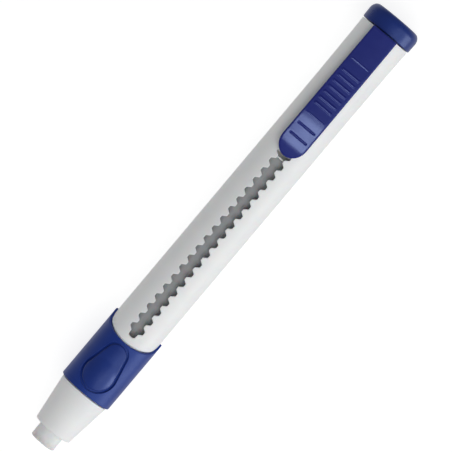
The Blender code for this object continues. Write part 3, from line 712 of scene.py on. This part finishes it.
def build_spring():
    """Fine coil with a closed flat turn at each end."""
    wire = SPRING_WIRE_RADIUS
    coil = (spring_high.x - spring_low.x) / 2 - wire
    middle = Vector(((spring_low.x + spring_high.x) / 2, (spring_low.y + spring_high.y) / 2))
    turns = SPRING_TURNS
    steps = 48
    around = 12
    low = spring_low.z + wire
    high = spring_high.z - wire
    flat_rise = 2.4 * wire
    rings = []
    for step in range(turns * steps + 1):
        turn = step / steps
        if turn < 1:
            height = low + flat_rise * turn
        elif turn > turns - 1:
            height = high - flat_rise * (turns - turn)
        else:
            height = low + flat_rise + (high - low - 2 * flat_rise) * (turn - 1) / (turns - 2)
        angle = 2 * math.pi * turn
        out = Vector((math.cos(angle), math.sin(angle), 0.0))
        centre = Vector((middle.x, middle.y, height)) + out * coil
        ring = []
        for index in range(around):
            around_angle = 2 * math.pi * index / around
            offset = out * math.cos(around_angle) + Vector((0, 0, 1)) * math.sin(around_angle)
            ring.append(tuple(centre + offset * wire))
        rings.append(ring)
    return loft("return_spring_coil", rings)


# ---------------------------------------------------------------- materials

def srgb(red, green, blue):
    """Linear colour from 0..255 values as seen on a screen."""
    def linear(value):
        share = value / 255
        return share / 12.92 if share <= 0.04045 else ((share + 0.055) / 1.055) ** 2.4
    return (linear(red), linear(green), linear(blue), 1.0)


NEUTRAL = (1.0, 1.0, 1.0, 1.0)
BLUISH = (0.55, 0.68, 1.0, 1.0)


class Nodes:
    """Small helper that adds and links shader nodes of one material."""

    def __init__(self, name):
        self.material = bpy.data.materials.new(name)
        self.material.use_nodes = True
        self.tree = self.material.node_tree
        self.shader = self.tree.nodes["Principled BSDF"]
        coordinates = self.tree.nodes.new("ShaderNodeTexCoord")
        self.place = coordinates.outputs["Object"]

    def add(self, kind, **inputs):
        node = self.tree.nodes.new(kind)
        for name, value in inputs.items():
            socket = node.inputs[name.replace("_", " ")]
            if isinstance(value, bpy.types.NodeSocket):
                self.tree.links.new(value, socket)
            else:
                socket.default_value = value
        return node

    def noise(self, scale, detail=3.0, roughness=0.5):
        node = self.add("ShaderNodeTexNoise", Vector=self.place, Scale=scale, Detail=detail,
                        Roughness=roughness)
        return node.outputs["Fac"]

    def ramp(self, value, low, high, low_at=0.35, high_at=0.65):
        node = self.tree.nodes.new("ShaderNodeValToRGB")
        self.tree.links.new(value, node.inputs["Fac"])
        ends = node.color_ramp.elements
        ends[0].position = low_at
        ends[1].position = high_at
        ends[0].color = low
        ends[1].color = high
        return node.outputs["Color"]

    def spread(self, value, low, high):
        node = self.add("ShaderNodeMapRange", Value=value)
        node.inputs["To Min"].default_value = low
        node.inputs["To Max"].default_value = high
        return node.outputs["Result"]

    def mix(self, factor, first, second, mode="MIX"):
        node = self.tree.nodes.new("ShaderNodeMix")
        node.data_type = "RGBA"
        node.blend_type = mode
        for socket, value in ((node.inputs[0], factor), (node.inputs[6], first), (node.inputs[7], second)):
            if isinstance(value, bpy.types.NodeSocket):
                self.tree.links.new(value, socket)
            else:
                socket.default_value = value
        return node.outputs[2]

    def bump(self, height, strength, distance, below=None):
        node = self.add("ShaderNodeBump", Height=height, Strength=strength, Distance=distance)
        if below is not None:
            self.tree.links.new(below, node.inputs["Normal"])
        return node.outputs["Normal"]

    def connect(self, **inputs):
        for name, value in inputs.items():
            socket = self.shader.inputs[name.replace("_", " ")]
            if isinstance(value, bpy.types.NodeSocket):
                self.tree.links.new(value, socket)
            else:
                socket.default_value = value
        return self.material


def worn_edges(nodes, colour, edge_colour, amount):
    """Colour that lightens a little along convex edges, broken up by noise."""
    geometry = nodes.tree.nodes.new("ShaderNodeNewGeometry")
    edges = nodes.ramp(geometry.outputs["Pointiness"], (0, 0, 0, 1), (1, 1, 1, 1), 0.515, 0.56)
    patches = nodes.ramp(nodes.noise(1400.0, 4.0), (0, 0, 0, 1), (1, 1, 1, 1), 0.4, 0.6)
    both = nodes.mix(1.0, edges, patches, "MULTIPLY")
    factor = nodes.add("ShaderNodeMath", Value=0.0)
    factor.operation = "MULTIPLY"
    nodes.tree.links.new(both, factor.inputs[0])
    factor.inputs[1].default_value = amount
    return nodes.mix(factor.outputs[0], colour, edge_colour)


def moulded_plastic(name, dark, light, roughness, grain, edge_colour, subsurface=0.0, tint=NEUTRAL,
                    shine=0.5):
    """Injection-moulded plastic: faint flow variation, fine texture, uneven polish and soft edge wear."""
    nodes = Nodes(name)
    colour = nodes.ramp(nodes.noise(160.0, 2.0), dark, light)
    colour = worn_edges(nodes, colour, edge_colour, 0.35)
    polish = nodes.spread(nodes.noise(420.0, 4.0), roughness * 0.85, roughness * 1.2)
    waviness = nodes.bump(nodes.noise(700.0, 2.0), 0.25, 0.02 * MM)
    texture = nodes.bump(nodes.noise(grain, 3.0), 0.25, 0.012 * MM, waviness)
    return nodes.connect(Base_Color=colour, Roughness=polish, Normal=texture, Specular_Tint=tint,
                         Specular_IOR_Level=shine, Subsurface_Weight=subsurface, Subsurface_Scale=1.2 * MM)


def soft_touch(name, dark, light, smoothest, roughest, shine):
    """Satin grip: fine matt grain over the blue."""
    nodes = Nodes(name)
    colour = nodes.ramp(nodes.noise(220.0, 3.0), dark, light)
    polish = nodes.spread(nodes.noise(600.0, 4.0), smoothest, roughest)
    grain = nodes.bump(nodes.noise(9000.0, 2.0), 0.4, 0.015 * MM)
    return nodes.connect(Base_Color=colour, Roughness=polish, Normal=grain, Sheen_Weight=0.08,
                         Sheen_Roughness=0.4, Specular_Tint=BLUISH, Specular_IOR_Level=shine)


def vinyl(name):
    """Eraser: soft off-white vinyl, a little translucent, greyer at its used tip.

    Whatever stretch of it lies inside the barrel gets painted shade, a darker grey keyed to world position,
    however far it has slid out.
    """
    nodes = Nodes(name)
    body = nodes.ramp(nodes.noise(500.0, 4.0), srgb(229, 231, 232), srgb(238, 239, 240))
    split = nodes.add("ShaderNodeSeparateXYZ", Vector=nodes.place)
    near_tip = nodes.add("ShaderNodeMapRange", Value=split.outputs["X"])
    near_tip.inputs["From Min"].default_value = eraser_low.x + 1.6 * MM
    near_tip.inputs["From Max"].default_value = eraser_low.x
    blotches = nodes.ramp(nodes.noise(1100.0, 5.0), (0.1, 0.1, 0.1, 1), (0.8, 0.8, 0.8, 1))
    smudge = nodes.mix(1.0, near_tip.outputs["Result"], blotches, "MULTIPLY")
    # painted shade: in world space the stick turns a darker grey from the nose's shoulder inwards and is
    # fully grey past the nose's rear end, standing in for the shade inside the barrel
    geometry = nodes.tree.nodes.new("ShaderNodeNewGeometry")
    world_place = nodes.add("ShaderNodeSeparateXYZ", Vector=geometry.outputs["Position"])
    inside = nodes.add("ShaderNodeMapRange", Value=world_place.outputs["X"])
    inside.inputs["From Min"].default_value = NOSE_SHOULDER_X
    inside.inputs["From Max"].default_value = nose_high.x
    body = nodes.mix(inside.outputs["Result"], body, srgb(176, 178, 180))
    colour = nodes.mix(smudge, body, srgb(196, 198, 200))
    grain = nodes.bump(nodes.noise(5000.0, 4.0), 0.5, 0.02 * MM)
    return nodes.connect(Base_Color=colour, Roughness=0.55, Normal=grain, Subsurface_Weight=0.35,
                         Subsurface_Scale=2.0 * MM)


def wire_steel(name):
    """Drawn spring wire."""
    nodes = Nodes(name)
    colour = nodes.ramp(nodes.noise(2500.0, 3.0), srgb(170, 171, 174), srgb(205, 206, 208))
    polish = nodes.spread(nodes.noise(3000.0, 3.0), 0.22, 0.36)
    drawn = nodes.bump(nodes.noise(8000.0, 2.0), 0.2, 0.01 * MM)
    return nodes.connect(Base_Color=colour, Roughness=polish, Normal=drawn, Metallic=1.0)


WHITE = moulded_plastic("white_abs", srgb(244, 246, 247), srgb(248, 249, 249), 0.38, 5200.0,
                        srgb(252, 252, 252), subsurface=0.1)
CAP_NAVY = moulded_plastic("cap_navy", srgb(31, 50, 121), srgb(34, 54, 127), 0.28, 4600.0,
                           srgb(80, 98, 172), tint=BLUISH, shine=0.75)
CLIP_NAVY = moulded_plastic("clip_navy", srgb(33, 40, 120), srgb(36, 43, 126), 0.24, 4600.0,
                            srgb(80, 92, 166), tint=BLUISH, shine=0.75)
GRIP_BLUE = soft_touch("grip_blue", srgb(29, 54, 134), srgb(33, 59, 141), 0.36, 0.46, 0.75)
PAD_BLUE = soft_touch("pad_blue", srgb(27, 50, 127), srgb(31, 55, 134), 0.28, 0.36, 0.95)
NATURAL = moulded_plastic("natural_acetal", srgb(222, 222, 216), srgb(230, 230, 224), 0.4, 3800.0,
                          srgb(240, 240, 236), subsurface=0.15)
VINYL = vinyl("eraser_vinyl")
STEEL = wire_steel("spring_steel")


# ---------------------------------------------------------------- assembly

def fit_piece(piece, body, node, material):
    """Ride a piece on a body and give it its material; it stands for a CAD node, if one is named."""
    piece.data.materials.clear()
    piece.data.materials.append(material)
    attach(piece, body)
    if node is not None:
        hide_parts(node)
    return piece


CASING = [
    fit_piece(build_barrel(), "holder", "barrel", WHITE),
    fit_piece(build_nose(), "holder", "nose_cone", WHITE),
    fit_piece(build_sleeve(), "holder", "grip_sleeve", GRIP_BLUE),
    fit_piece(build_pad("front_pad_skin", 1), "holder", "front_grip_pad", PAD_BLUE),
    fit_piece(build_pad("back_pad_skin", -1), "holder", "back_grip_pad", PAD_BLUE),
    fit_piece(build_cap(), "holder", "end_cap", CAP_NAVY),
]
CLIP = fit_piece(build_clip(), "slider", "slide_clip", CLIP_NAVY)
for post in build_clip_posts():
    fit_piece(post, "slider", None, CLIP_NAVY)
fit_piece(build_eraser(), "refill", "eraser_stick", VINYL)
coil_piece = fit_piece(build_spring(), "carriage", "return_spring", STEEL)
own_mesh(coil_piece)

for node_name in ("eraser_carrier", "latch_foot"):
    node = frame["nodes"][node_name]
    node.data.materials.clear()
    node.data.materials.append(NATURAL)


# ---------------------------------------------------------------- studio

def build_floor():
    """Pale seamless floor, lit from within so that it stays white around the holder."""
    reach = 1.5
    nodes = Nodes("studio_floor")
    colour = nodes.ramp(nodes.noise(3.0, 2.0), (0.29, 0.29, 0.29, 1.0), (0.31, 0.31, 0.31, 1.0))
    material = nodes.connect(Base_Color=colour, Roughness=0.75, Specular_IOR_Level=0.0,
                             Emission_Color=(1.0, 1.0, 1.0, 1.0), Emission_Strength=FLOOR_GLOW)
    mesh = bpy.data.meshes.new("studio_floor")
    mesh.from_pydata([(-reach, -reach, 0.0), (reach, -reach, 0.0), (reach, reach, 0.0), (-reach, reach, 0.0)],
                     [], [(0, 1, 2, 3)])
    mesh.materials.append(material)
    floor = bpy.data.objects.new("studio_floor", mesh)
    bpy.context.scene.collection.objects.link(floor)
    floor.visible_glossy = False


def build_light(name, lean, toward_tip, size, strength, diffuse=True, glossy=True, only=()):
    """Soft square light aimed at the holder from 0.8 m.

    The lean is its angle from straight up toward -Y, toward_tip turns it toward -X, both in degrees.
    The strength is the light that a surface facing it gets, as a share of a white surface's full brightness.
    With pieces in only, it lights just those.
    """
    lean = math.radians(lean)
    turn = math.radians(toward_tip)
    direction = Vector((-math.sin(turn) * math.sin(lean), -math.cos(turn) * math.sin(lean), math.cos(lean)))
    distance = 0.8
    data = bpy.data.lights.new(name, "AREA")
    data.shape = "SQUARE"
    data.size = size
    data.energy = strength * (math.pi * distance) ** 2
    light = bpy.data.objects.new(name, data)
    bpy.context.scene.collection.objects.link(light)
    light.location = direction * distance
    light.rotation_euler = direction.to_track_quat("Z", "Y").to_euler()
    light.visible_diffuse = diffuse
    light.visible_glossy = glossy
    if only:
        lit = bpy.data.collections.new(name + "_lights")
        for piece in only:
            lit.objects.link(piece)
        light.light_linking.receiver_collection = lit


def build_camera():
    """Long lens above the holder, tipped toward the cap, rolled so the barrel climbs to the upper right."""
    tip = math.radians(2.5)
    roll = math.radians(49.9)
    centre = Vector((1.92 * MM, -0.34 * MM, AXIS_Z))
    frame_width = 101.73 * MM
    lens = 250.0
    data = bpy.data.cameras.new("camera")
    data.lens = lens
    data.sensor_width = 36.0
    distance = frame_width * lens / data.sensor_width
    data.clip_start = 0.01
    back = Vector((math.sin(tip), 0.0, math.cos(tip)))
    along = Vector((math.cos(tip), 0.0, -math.sin(tip)))
    side = Vector((0.0, -1.0, 0.0))
    right = along * math.cos(roll) + side * math.sin(roll)
    up = along * math.sin(roll) - side * math.cos(roll)
    camera = bpy.data.objects.new("camera", data)
    bpy.context.scene.collection.objects.link(camera)
    location = centre + back * distance
    matrix = Matrix((right, up, back)).transposed().to_4x4()
    matrix.translation = location
    camera.matrix_world = matrix
    bpy.context.scene.camera = camera


def build_surroundings():
    """Even light for matt surfaces; reflections see a dark room over a grey ground.

    The camera sees a pale backdrop beyond the floor.
    """
    world = bpy.data.worlds.new("surroundings")
    world.use_nodes = True
    world.cycles.sampling_method = "NONE"
    tree = world.node_tree
    background = tree.nodes["Background"]
    path = tree.nodes.new("ShaderNodeLightPath")
    direction = tree.nodes.new("ShaderNodeTexCoord")
    split = tree.nodes.new("ShaderNodeSeparateXYZ")
    height = tree.nodes.new("ShaderNodeMapRange")
    brightness = tree.nodes.new("ShaderNodeMix")
    seen = tree.nodes.new("ShaderNodeMix")
    tree.links.new(direction.outputs["Generated"], split.inputs["Vector"])
    tree.links.new(split.outputs["Z"], height.inputs["Value"])
    height.inputs["From Min"].default_value = GROUND_BELOW
    height.inputs["From Max"].default_value = ROOM_ABOVE
    height.inputs["To Min"].default_value = GROUND_REFLECTED
    height.inputs["To Max"].default_value = ROOM_REFLECTED
    tree.links.new(path.outputs["Is Glossy Ray"], brightness.inputs[0])
    brightness.inputs[2].default_value = AMBIENT
    tree.links.new(height.outputs["Result"], brightness.inputs[3])
    tree.links.new(path.outputs["Is Camera Ray"], seen.inputs[0])
    tree.links.new(brightness.outputs[0], seen.inputs[2])
    seen.inputs[3].default_value = BACKDROP
    background.inputs["Color"].default_value = NEUTRAL
    tree.links.new(seen.outputs[0], background.inputs["Strength"])
    bpy.context.scene.world = world


def build_studio():
    """Floor, soft lights, surroundings and camera."""
    build_floor()
    build_light("overhead_softbox", lean=15.0, toward_tip=30.0, size=0.5, strength=0.48, glossy=False)
    build_light("side_softbox", lean=55.0, toward_tip=8.0, size=1.1, strength=0.38)
    build_light("low_strip", lean=86.0, toward_tip=0.0, size=0.48, strength=0.26, diffuse=False, only=CASING)
    build_light("tip_panel", lean=12.0, toward_tip=75.0, size=0.30, strength=0.27, diffuse=False, only=[CLIP])
    build_surroundings()
    bpy.context.scene.view_settings.view_transform = "Standard"
    build_camera()


build_studio()
